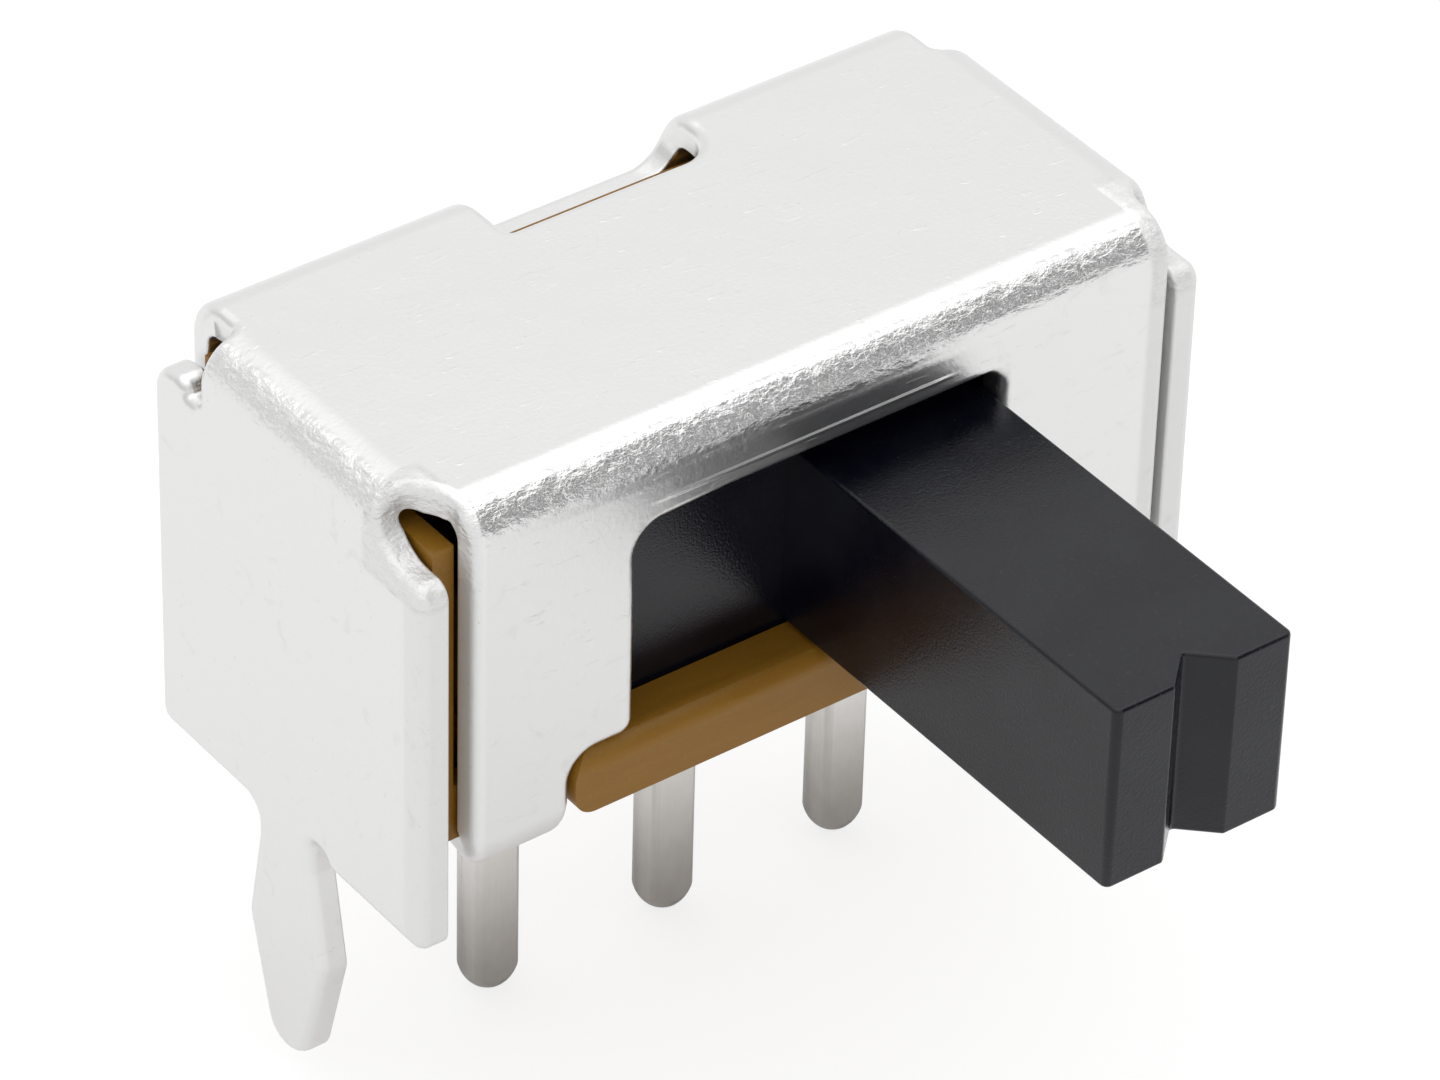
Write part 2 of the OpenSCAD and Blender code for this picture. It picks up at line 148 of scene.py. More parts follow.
class Finish:
    """The nodes of one material, or of the world"""

    def __init__(self, owner):
        owner.use_nodes = True
        self.owner, self.tree = owner, owner.node_tree
        self.tree.nodes.clear()

    def node(self, kind, settings=None, inputs=None):
        """Adds a node, its settings first, and gives its outputs as wires"""
        made = self.tree.nodes.new(kind)
        for name, value in (settings or {}).items():
            setattr(made, name, value)
        by_identifier = {socket.identifier: socket for socket in made.inputs}
        for name, value in (inputs or {}).items():
            socket = by_identifier.get(name) or made.inputs[name]
            if isinstance(value, Wire):
                self.tree.links.new(value.socket, socket)
            else:
                socket.default_value = value
        return [Wire(self, socket) for socket in made.outputs if socket.enabled]

    def mix(self, amount, first, second):
        """A colour between two colours"""
        inputs = {"Factor_Float": amount, "A_Color": first, "B_Color": second}
        return self.node("ShaderNodeMix", {"data_type": "RGBA"}, inputs)[0]

    def place(self, stretch=(1, 1, 1), turn=(0, 0, 0)):
        """Object coordinates in millimetres, so that a pattern's scale is read as so many per millimetre"""
        here = self.node("ShaderNodeTexCoord")[3]
        scale = [s / MM for s in stretch]
        return self.node("ShaderNodeMapping", {}, {"Vector": here, "Scale": scale, "Rotation": turn})[0]

    def noise(self, where, scale, detail=2.0, roughness=0.5, distortion=0.0):
        inputs = {"Vector": where, "Scale": scale, "Detail": detail, "Roughness": roughness,
                  "Distortion": distortion}
        return self.node("ShaderNodeTexNoise", {}, inputs)[0]

    def surface(self, **inputs):
        """The Principled surface; its own sockets are named with underlines for spaces"""
        named = {name.replace("_", " "): value for name, value in inputs.items()}
        shader = self.node("ShaderNodeBsdfPrincipled", {}, named)[0]
        self.node("ShaderNodeOutputMaterial", {}, {"Surface": shader})
        print(self.owner.name, "has", len(self.tree.nodes), "nodes")
        return self.owner

    def bump(self, height, depth, strength=1.0):
        """A bump of a real depth in millimetres"""
        return self.node("ShaderNodeBump", {}, {"Height": height, "Distance": depth * MM, "Strength": strength})[0]


def new_finish(name):
    return Finish(bpy.data.materials.new(name))


def grey(level):
    return (level, level, level, 1.0)


# %% [markdown]
# ## Outlines and solids
# Most pieces start as a flat outline with a radius at each corner, as on a workshop drawing. They could be
# modelled from cubes by hand, but then no size could be read back. The helpers round the corners, turn an outline
# into a prism along any axis, and join or cut prisms. A bevel then breaks the edges, because no real edge is sharp
# and the thin line of light on it makes a small part look real.

# %% Outlines and solids
ARC_STEP = math.radians(9)


def rounded(corners):
    """An outline from corners (u, v, radius), each round corner as an arc"""
    points = []
    for i, (u, v, radius) in enumerate(corners):
        corner = Vector((u, v))
        if not radius:
            points.append(corner)
            continue
        to_last = (Vector(corners[i - 1][:2]) - corner).normalized()
        to_next = (Vector(corners[(i + 1) % len(corners)][:2]) - corner).normalized()
        half = to_last.angle(to_next) / 2
        centre = corner + (to_last + to_next).normalized() * radius / math.sin(half)
        start = corner + to_last * radius / math.tan(half) - centre
        turn = start.angle_signed(corner + to_next * radius / math.tan(half) - centre)
        steps = max(2, math.ceil(abs(turn) / ARC_STEP))
        for k in range(steps + 1):
            angle = -turn * k / steps
            points.append(centre + Matrix.Rotation(angle, 2) @ start)
    return [p for i, p in enumerate(points) if (p - points[i - 1]).length > 1e-4]


def new_object(name, mesh_maker):
    """An object from a bmesh in millimetres, stored in metres"""
    mesh_maker.normal_update()
    bmesh.ops.scale(mesh_maker, vec=(MM, MM, MM), verts=mesh_maker.verts)
    mesh = bpy.data.meshes.new(name)
    mesh_maker.to_mesh(mesh)
    mesh_maker.free()
    piece = bpy.data.objects.new(name, mesh)
    bpy.context.scene.collection.objects.link(piece)
    return piece


def prism(name, outline, axis, low, high):
    """An outline pushed along an axis: (u, v) is (y, z) along X, (x, z) along Y, and (x, y) along Z"""
    order = {"X": lambda u, v, w: (w, u, v), "Y": lambda u, v, w: (u, w, v), "Z": lambda u, v, w: (u, v, w)}[axis]
    made = bmesh.new()
    ends = [[made.verts.new(order(p[0], p[1], w)) for p in outline] for w in (low, high)]
    for end in ends:
        made.faces.new(end)
    for i in range(len(outline)):
        made.faces.new((ends[0][i - 1], ends[0][i], ends[1][i], ends[1][i - 1]))
    bmesh.ops.recalc_face_normals(made, faces=made.faces)
    return new_object(name, made)


def block(name, low, high):
    """A box between its lowest and its highest corner, in millimetres"""
    corners = [(low[0], low[1]), (high[0], low[1]), (high[0], high[1]), (low[0], high[1])]
    return prism(name, corners, "Z", low[2], high[2])


def settle(piece):
    """Applies the modifiers of a piece by taking its evaluated mesh"""
    bpy.context.view_layer.update()
    evaluated = piece.evaluated_get(bpy.context.evaluated_depsgraph_get())
    mesh = bpy.data.meshes.new_from_object(evaluated)
    piece.modifiers.clear()
    old, piece.data = piece.data, mesh
    bpy.data.meshes.remove(old)
    return piece


def combine(piece, others, operation):
    """Joins other solids to a piece, or cuts them from it, and uses them up"""
    for other in others:
        tool = piece.modifiers.new(operation.lower(), "BOOLEAN")
        tool.operation, tool.object, tool.solver = operation, other, "EXACT"
        settle(piece)
        bpy.data.objects.remove(other)
    return piece


def tidy(piece):
    """Merges doubles and flat neighbours, so that a bevel finds clean edges"""
    made = bmesh.new()
    made.from_mesh(piece.data)
    bmesh.ops.remove_doubles(made, verts=made.verts, dist=0.0005 * MM)
    bmesh.ops.dissolve_limit(made, angle_limit=math.radians(0.4), verts=made.verts, edges=made.edges)
    made.to_mesh(piece.data)
    made.free()
    return piece


def break_edges(piece, width, segments=3, edge_angle=30):
    """Rounds every outward edge sharper than edge_angle; inner corners stay as crisp as the mould made them"""
    made = bmesh.new()
    made.from_mesh(piece.data)
    weight = made.edges.layers.float.new("bevel_weight_edge")
    for edge in made.edges:
        if edge.is_convex and edge.calc_face_angle(0) > math.radians(edge_angle):
            edge[weight] = 1.0
    made.to_mesh(piece.data)
    made.free()
    bevel = piece.modifiers.new("broken edges", "BEVEL")
    bevel.width, bevel.segments, bevel.limit_method = width * MM, segments, "WEIGHT"
    bevel.miter_outer = "MITER_ARC"
    return settle(piece)


def soften(piece, smooth=35):
    """Smooth normals on the rounds, and flat ones on the flats"""
    piece.data.shade_smooth()
    piece.data.set_sharp_from_angle(angle=math.radians(smooth))
    weighted = piece.modifiers.new("flat faces stay flat", "WEIGHTED_NORMAL")
    weighted.keep_sharp, weighted.weight = True, 80
    return settle(piece)


def dress(piece, finish, body, slot, *nodes):
    """Gives a piece its finish and its body, and hides the CAD nodes it stands for; slot is not used"""
    piece.data.materials.clear()
    piece.data.materials.append(finish)
    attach(piece, body)
    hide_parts(*nodes)
    print(piece.name, "has", len(piece.data.polygons), "faces")


# %% [markdown]
# ## The shell is folded, so it is folded here too
# On the real switch a press cuts a flat blank, with round holes where two folds would meet, and then bends its
# flaps down. Five plates joined at their edges would look alike from afar, but their bends would need blending at
# every corner. Doing what the press does gives true folds for nothing, so only the sizes of the folds are set
# first: the sheet, the radius of a bend, and the line on which each bend starts.

# %% Sizes of the shell
shell_low, shell_high = box_mm("shell")
SHEET, FOLD = 0.3, 0.45
TOP, FRONT, BACK = shell_high.z, shell_low.y, shell_high.y
SIDE_FOLD, FRONT_FOLD, BACK_FOLD = shell_high.x - FOLD, FRONT + FOLD, BACK - FOLD
QUARTER = FOLD * math.pi / 2
TAB_FOLD_Z, TAB_REACH = 1.0, 1.05
WALL = TOP - FOLD - TAB_FOLD_Z
print("a bend takes", round(QUARTER, 3), "mm of sheet, and the wall below it is", round(WALL, 2), "mm high")


def drop(z):
    """How far a height on a wall lies from the fold line, measured along the sheet"""
    return QUARTER + TOP - FOLD - z


def wrap(run, wall):
    """Runs past a fold line, over a wall and round a second fold: how far out, how far down, how far turned"""
    if run < QUARTER:
        turn = run / FOLD
        return FOLD * math.sin(turn), FOLD * (1 - math.cos(turn)), turn
    run -= QUARTER
    if run < wall:
        return FOLD, FOLD + run, math.pi / 2
    turn = min(run - wall, QUARTER) / FOLD
    past = max(run - wall - QUARTER, 0)
    return FOLD * math.cos(turn) - past, FOLD + wall + FOLD * math.sin(turn), math.pi / 2 + turn


def fold(u, v):
    """Where a point of the blank's outer face comes to lie, and how the sheet is turned there"""
    beyond = abs(u) - SIDE_FOLD
    if beyond > 0 and (FRONT_FOLD <= v <= BACK_FOLD or beyond > SHEET):
        side = math.copysign(1, u)
        out, down, turn = wrap(beyond, math.inf)
        return Vector((side * (SIDE_FOLD + out), v, TOP - down)), Matrix.Rotation(side * turn, 3, "Y")
    for line, way in ((FRONT_FOLD, -1), (BACK_FOLD, 1)):
        if (v - line) * way > 0:
            out, down, turn = wrap((v - line) * way, WALL)
            return Vector((u, line + way * out, TOP - down)), Matrix.Rotation(-way * turn, 3, "X")
    return Vector((u, v, TOP)), Matrix.Identity(3)


# %% [markdown]
# ## The blank's outline
# The flat blank is one closed line of corners, each with its radius. A wall's corner is given by its height above
# the board and measured back along the sheet, so every number can be checked on the folded switch. The two halves
# are alike, apart from how far the front wall and the window reach: the press was set a hair to the right, so
# the front wall nearly touches the right-hand side wall. Each outward corner is rounder than the cut edge that
# follows, and two neighbours fit in the length between them, or the rounded edge would fold over itself.

# %% The blank's outline
SLOT_HALF, SLOT_TOP = 1.985, 3.76
THROAT_HALF, THROAT_TOP = 2.66, 1.51
LEFT_HALF, RIGHT_HALF, BACK_HALF = 3.69, 3.88, 3.85
RELIEF_Y, RELIEF_Z = -1.40, 3.98
WING_FRONT, WING_TOP = FRONT + 0.02, 3.98
WING_BACK_Z, WING_PEAK_Z = WING_TOP - 0.03, WING_TOP + 0.05
NOTCH_FRONT, NOTCH_BACK, NOTCH_Z, NOTCH_FLARE = 1.24, 1.44, 3.88, 0.06
NOTCH_FRONT_R, NOTCH_BACK_R, NOTCH_SIDE_R = 0.1, 0.05, 0.08
NECK_HALF, NECK_LOW_Z, LEG_HALF = 0.415, -0.3, 0.6
LEG_WIDE_Z, LEG_TIP_R, LEG_TIP_STEPS = -1.32, 0.33, 20
NECK_NOTCH_R, NECK_FILLET_R = 0.13, 0.2
TAB_TAPER, INNER_TAPER = 0.2, 0.14
STEP_R, THROAT_R, CURL_R, TAB_R = 0.16, 0.28, 0.25, 0.17
WING_R, FOOT_R, LEG_R, BACK_CORNER_R, BACK_THROAT_R = 0.18, 0.15, 0.3, 0.27, 0.12

curl_start = drop(TAB_FOLD_Z)
tab_end = curl_start + QUARTER + TAB_REACH - FOLD


def side_corner(y, z, radius):
    return -(SIDE_FOLD + drop(z)), y, radius


def leg_tip():
    """The round end of a ground leg, from its front tangent point to its back one"""
    centre_z = shell_low.z + LEG_TIP_R
    rise = LEG_WIDE_Z - centre_z
    lean = math.atan2(rise, LEG_HALF) - math.acos(LEG_TIP_R / math.hypot(LEG_HALF, rise))
    start, end = math.pi - lean, 2 * math.pi + lean
    angles = [start + (end - start) * k / LEG_TIP_STEPS for k in range(LEG_TIP_STEPS + 1)]
    return [side_corner(LEG_TIP_R * math.cos(a), centre_z + LEG_TIP_R * math.sin(a), 0) for a in angles]


def half_outline(front_half, slot_corners, relief_r):
    """The blank's -X half, from the slot in the front wall round to the middle of the back wall"""
    return [
        *slot_corners,
        (-SLOT_HALF, FRONT_FOLD - drop(THROAT_TOP), STEP_R),
        (-THROAT_HALF, FRONT_FOLD - drop(THROAT_TOP), THROAT_R),
        (-THROAT_HALF, FRONT_FOLD - curl_start, CURL_R),
        (-THROAT_HALF - INNER_TAPER, FRONT_FOLD - tab_end, TAB_R),
        (-front_half + TAB_TAPER, FRONT_FOLD - tab_end, TAB_R),
        (-front_half, FRONT_FOLD - curl_start, CURL_R),
        (-front_half, RELIEF_Y, relief_r),
        side_corner(RELIEF_Y, RELIEF_Z, relief_r),
        side_corner(WING_FRONT, RELIEF_Z, WING_R),
        side_corner(WING_FRONT, 0, FOOT_R),
        side_corner(-NECK_HALF - 2.6 * NECK_NOTCH_R, 0, FOOT_R),
        side_corner(-NECK_HALF - 1.6 * NECK_NOTCH_R, NECK_NOTCH_R, NECK_NOTCH_R * 0.6),
        side_corner(-NECK_HALF, NECK_NOTCH_R, NECK_NOTCH_R * 0.98),
        side_corner(-NECK_HALF, NECK_LOW_Z, LEG_R),
        side_corner(-LEG_HALF, LEG_WIDE_Z, LEG_R),
        *leg_tip(),
        side_corner(LEG_HALF, LEG_WIDE_Z, LEG_R),
        side_corner(NECK_HALF, NECK_LOW_Z, LEG_R),
        side_corner(NECK_HALF, 0, NECK_FILLET_R),
        side_corner(BACK, 0, FOOT_R),
        side_corner(BACK, WING_BACK_Z, BACK_CORNER_R),
        side_corner(NOTCH_BACK + NOTCH_FLARE, WING_PEAK_Z, FOOT_R),
        side_corner(NOTCH_BACK, NOTCH_Z, NOTCH_BACK_R),
        side_corner(NOTCH_FRONT, NOTCH_Z, NOTCH_FRONT_R),
        (-BACK_HALF, NOTCH_FRONT, NOTCH_SIDE_R),
        (-BACK_HALF, BACK_FOLD + curl_start, CURL_R),
        (-BACK_HALF + TAB_TAPER, BACK_FOLD + tab_end, TAB_R),
        (-THROAT_HALF - INNER_TAPER, BACK_FOLD + tab_end, TAB_R),
        (-THROAT_HALF, BACK_FOLD + curl_start, BACK_THROAT_R),
    ]


# The window's upper edge sinks a little towards its left corner, which is also the rounder one
SLOT_CORNER_LEFT_R, SLOT_CORNER_RIGHT_R, SLOT_DIP = 0.28, 0.17, 0.05
RELIEF_LEFT_R, RELIEF_RIGHT_R = 0.49, 0.39

slot_left = [(-1.0, FRONT_FOLD - drop(SLOT_TOP), 0),
             (-SLOT_HALF, FRONT_FOLD - drop(SLOT_TOP - SLOT_DIP), SLOT_CORNER_LEFT_R)]
slot_right = [(-SLOT_HALF, FRONT_FOLD - drop(SLOT_TOP), SLOT_CORNER_RIGHT_R)]
left_half = half_outline(LEFT_HALF, slot_left, RELIEF_LEFT_R)
right_half = half_outline(RIGHT_HALF, slot_right, RELIEF_RIGHT_R)
blank_outline = rounded(left_half + [(-u, v, radius) for u, v, radius in reversed(right_half)])

LANCE_LEFT, LANCE_RIGHT, LANCE_FRONT, LANCE_SILL_Z = -1.05, 1.22, 1.09, 4.02
SQUARE_END_R, ROUND_END_R = 0.06, 0.36
lance_sill = BACK_FOLD + drop(LANCE_SILL_Z)
lance_hole = rounded([(LANCE_LEFT, LANCE_FRONT, SQUARE_END_R), (LANCE_RIGHT, LANCE_FRONT, ROUND_END_R),
                      (LANCE_RIGHT, lance_sill, ROUND_END_R), (LANCE_LEFT, lance_sill, SQUARE_END_R)])
flat_size = [max(p[i] for p in blank_outline) - min(p[i] for p in blank_outline) for i in (0, 1)]
print("the flat blank in mm:", [round(side, 2) for side in flat_size], "with", len(blank_outline), "points")


# %% [markdown]
# ## Cut the blank and round its edges
# A punch draws the sheet in as it cuts, so the outer edge is visibly rounder than the inner one. A Bevel modifier
# gives both faces the same width, so the edges are rounded by two bevels on the bare mesh instead. The rounding is
# done while the blank is flat, when each rim is one level line and easy to pick out by its height.

# %% Cut the blank and round its edges
OUTER_EDGE, INNER_EDGE = 0.115, 0.03
OUTER_STEPS, INNER_STEPS = 5, 3


def flat_blank(outline, hole):
    """The blank as a solid in millimetres, its outer face at height 0, with its cut edges rounded"""
    sheet = combine(prism("blank", outline, "Z", -SHEET, 0), [prism("hole", hole, "Z", -1, 1)], "DIFFERENCE")
    made = bmesh.new()
    made.from_mesh(sheet.data)
    bpy.data.objects.remove(sheet)
    bmesh.ops.scale(made, vec=(1 / MM, 1 / MM, 1 / MM), verts=made.verts)
    bmesh.ops.dissolve_limit(made, angle_limit=math.radians(0.2), verts=made.verts, edges=made.edges)
    for height, width, steps in ((0, OUTER_EDGE, OUTER_STEPS), (-SHEET, INNER_EDGE, INNER_STEPS)):
        rim = [e for e in made.edges if all(abs(v.co.z - height) < 1e-4 for v in e.verts)
               and e.calc_face_angle(0) > 1]
        bmesh.ops.bevel(made, geom=rim, offset=width, offset_type="OFFSET", segments=steps, profile=0.5,
                        affect="EDGES", clamp_overlap=False)
    bmesh.ops.triangulate(made, faces=[f for f in made.faces if len(f.verts) > 4])
    return made


blank = flat_blank(blank_outline, lance_hole)
print("the rounded blank has", len(blank.faces), "faces")

# %% [markdown]
# ## Fold it
# The blank now needs points where it has to bend, so cuts are laid across each fold, and then every point is
# wrapped round its fold. A Simple Deform modifier could bend one flap, but not four that share their corners. The
# normals are taken while the blank is flat and turned with the points, so the bends shade as smoothly as if they
# had endless faces.

# %% Fold it
FOLD_CUTS = 12


def fold_planes():
    """Where the blank needs points to bend: each cut's axis, 0 for u or 1 for v, and its place"""
    planes = []
    for k in range(FOLD_CUTS + 1):
        run = QUARTER * k / FOLD_CUTS
        planes += [(0, side * (SIDE_FOLD + run)) for side in (-1, 1)]
        planes += [(1, line + way * (start + run)) for line, way in ((FRONT_FOLD, -1), (BACK_FOLD, 1))
                   for start in (0, curl_start)]
    return planes


def flat_normal(vertex):
    """The normal of the blank at a point: straight up or down on its two faces, and smooth round its rim"""
    normals = [f.normal for f in vertex.link_faces if f.calc_area() > 1e-9]
    for normal in normals:
        if abs(normal.z) > 0.9999:
            return Vector((0, 0, math.copysign(1, normal.z)))
    upright = [n for n in normals if abs(n.z) < 0.001]
    return sum(upright or normals, Vector()).normalized()


def folded(name, made):
    """Folds a flat blank, its normals with it"""
    for axis, place in fold_planes():
        across = Vector((1, 0, 0) if axis == 0 else (0, 1, 0))
        bmesh.ops.bisect_plane(made, geom=made.verts[:] + made.edges[:] + made.faces[:], dist=1e-5,
                               plane_co=across * place, plane_no=across)
    made.normal_update()
    made.verts.index_update()
    normals = []
    for vertex in made.verts:
        place, turned = fold(vertex.co.x, vertex.co.y)
        normals.append(turned @ flat_normal(vertex))
        vertex.co = place + turned @ Vector((0, 0, vertex.co.z))
    piece = new_object(name, made)
    piece.data.shade_smooth()
    piece.data.normals_split_custom_set_from_vertices(normals)
    return piece


shell = folded("folded_shell", blank)
print("the folded shell has", len(shell.data.vertices), "points")

# %% [markdown]
# ## The base
# One moulding carries everything: a floor for the pins, end walls that stop the slider, and a lip that fills
# the throat of the window. It could be sculpted from one box, but it is put together from prisms, as a toolmaker
# cuts a mould from plain blocks, so that each wall keeps its own size. The sheet is wrapped round it with a hair of
# air between them, and shallow seats in its underside take the curled tabs.

# %% Base
base_low, base_high = box_mm("base")
GAP = 0.04  # the air between two pieces
OVERLAP, PAST = 0.1, 1.0  # how far solids run into each other to be joined, and past each other to cut
BASE_FRONT = FRONT + SHEET + GAP
END_WALL, BACK_WALL = 0.22, 0.3
LEDGE_Z, LEDGE_Y = THROAT_TOP - GAP, FRONT + SHEET + 0.24
DECK_Z, DECK_Y = 1.74, LEDGE_Y + 0.34
GROOVE_Z = LEDGE_Z - 0.34
LIP_HALF, LIP_LOW_R, LIP_HIGH_R, LIP_EDGE_R = THROAT_HALF - GAP, 0.22, 0.28, 0.2
SEAT_DEPTH, BASE_EDGE = 0.05, 0.035

bay_x = base_high.x - END_WALL
bay_back = base_high.y - BACK_WALL
section = [(BASE_FRONT, base_low.z), (base_high.y, base_low.z), (base_high.y, base_high.z),
           (bay_back, base_high.z), (bay_back, DECK_Z), (DECK_Y, DECK_Z), (DECK_Y, GROOVE_Z),
           (LEDGE_Y, GROOVE_Z), (LEDGE_Y, LEDGE_Z), (BASE_FRONT, LEDGE_Z)]
base = prism("moulded_base", section, "X", -bay_x - OVERLAP / 2, bay_x + OVERLAP / 2)
end_walls = [block("end wall", (min(a, b), BASE_FRONT, base_low.z), (max(a, b), base_high.y, base_high.z))
             for a, b in ((base_low.x, -bay_x), (bay_x, base_high.x))]
lip_front = rounded([(-LIP_HALF, base_low.z, LIP_LOW_R), (LIP_HALF, base_low.z, LIP_LOW_R),
                     (LIP_HALF, LEDGE_Z, LIP_HIGH_R), (-LIP_HALF, LEDGE_Z, LIP_HIGH_R)])
lip_back = BASE_FRONT + OVERLAP * 2
lip_side = rounded([(FRONT, base_low.z - PAST, 0), (lip_back, base_low.z - PAST, 0),
                    (lip_back, LEDGE_Z, 0), (FRONT, LEDGE_Z, LIP_EDGE_R)])
lip = prism("lip", lip_front, "Y", FRONT, BASE_FRONT + OVERLAP)
combine(lip, [prism("lip side", lip_side, "X", -LIP_HALF - PAST, LIP_HALF + PAST)], "INTERSECT")
seats = [block("seat", (min(s * THROAT_HALF, s * BACK_HALF) - GAP, y0, base_low.z - PAST),
               (max(s * THROAT_HALF, s * BACK_HALF) + GAP, y1, base_low.z + SEAT_DEPTH))
         for s in (-1, 1) for y0, y1 in ((BASE_FRONT - PAST, FRONT + TAB_REACH + GAP),
                                         (BACK - TAB_REACH - GAP, base_high.y + PAST))]
combine(base, [*end_walls, lip], "UNION")
combine(base, seats, "DIFFERENCE")
tidy(base)
soften(break_edges(base, BASE_EDGE))
print("the base has", len(base.data.polygons), "faces")

# %% [markdown]
# ## The slider
# The black moulding is a body behind the window and a long actuator with a V across its end. The V could be cut
# out with a wedge, but the actuator's plan, seen from above, already holds both the V and the round corners of the
# tip, so it is drawn from above and pushed up to its height. The body's underside has a pocket for the contact and
# a way for the pins' blades, which stay where they are while it slides past them.

# %% Slider
slider_low, slider_high = box_mm("slider")
STEM_HALF, STEM_LOW, STEM_HIGH = 0.97, 1.51, 3.46
BODY_FRONT, BODY_LOW = FRONT + SHEET + 0.28, DECK_Z + GAP
RAIL_FRONT, RAIL_LOW = FRONT + SHEET + GAP, slider_high.z - 0.34
V_HALF, V_DEPTH, V_R, TIP_R = 0.34, 0.32, 0.05, 0.08
BLADE_WAY_HALF, SLIDER_EDGE = 0.25, 0.04

stem_x = (slider_low.x + slider_high.x) / 2
tip_y, stem_back = slider_low.y, BODY_FRONT + OVERLAP
stem_plan = rounded([(stem_x - STEM_HALF, tip_y, TIP_R), (stem_x - V_HALF, tip_y, V_R),
                     (stem_x, tip_y + V_DEPTH, V_R), (stem_x + V_HALF, tip_y, V_R),
                     (stem_x + STEM_HALF, tip_y, TIP_R), (stem_x + STEM_HALF, stem_back, 0),
                     (stem_x - STEM_HALF, stem_back, 0)])
slider = prism("black_slider", stem_plan, "Z", STEM_LOW, STEM_HIGH)
body_block = block("body", (slider_low.x, BODY_FRONT, BODY_LOW), slider_high)
rail = block("rail", (slider_low.x, RAIL_FRONT, RAIL_LOW), (slider_high.x, stem_back, slider_high.z))
rib = block("rib", (slider_low.x, BODY_FRONT, GROOVE_Z + GAP), (slider_high.x, DECK_Y - GAP, BODY_LOW + OVERLAP))
contact_low, contact_high = box_mm("moving_contact")
pin_top = box_mm("terminal_centre")[1].z
pocket = block("pocket", (contact_low.x - GAP, contact_low.y - GAP, BODY_LOW - PAST),
               (contact_high.x + GAP, contact_high.y + GAP, contact_high.z + GAP))
blade_way = block("blade way", (slider_low.x - PAST, -BLADE_WAY_HALF, BODY_LOW - PAST),
                  (slider_high.x + PAST, BLADE_WAY_HALF, pin_top + GAP))
combine(slider, [body_block, rail, rib], "UNION")
combine(slider, [pocket, blade_way], "DIFFERENCE")
tidy(slider)
soften(break_edges(slider, SLIDER_EDGE))
print("the slider has", len(slider.data.polygons), "faces")

# %% [markdown]
# ## The pins
# The three terminals are the same part, so one Geometry Nodes tree makes them, and each pin only gives it other
# numbers. Copies of one mesh would do too, but the tree's sizes stay open to change. A pin's outline is known from
# the front, from the side and from above, so the tree pushes three plates through each other and keeps what they
# share. Two crossed roundings would leave a ridge on the tip like that of a roof, so a stretched ball, the bullet,
# rounds the point all the way about.

# %% The pin's tree
PIN_SIZES = ("Width", "Thickness", "Tip", "Top", "Place", "Shoulder Width", "Shoulder Low", "Shoulder High",
             "Tip Radius", "Nose Radius", "Blade Radius", "Edge Radius", "Bullet Radius", "Bullet Length")
CORNER_POINTS, BALL_SEGMENTS, BALL_RINGS = 12, 48, 24
MERGE_WITHIN = 1e-7


def add_node(tree, kind, settings=None, inputs=None):
    """Adds a node to a tree and gives its first output; a tuple of links all goes to one socket"""
    made = tree.nodes.new(kind)
    for name, value in (settings or {}).items():
        setattr(made, name, value)
    for name, value in (inputs or {}).items():
        socket = made.inputs[name]
        several = isinstance(value, tuple) and isinstance(value[0], bpy.types.NodeSocket)
        for one in value if several else (value,):
            if isinstance(one, bpy.types.NodeSocket):
                tree.links.new(one, socket)
            else:
                socket.default_value = one
    return made.outputs[0]


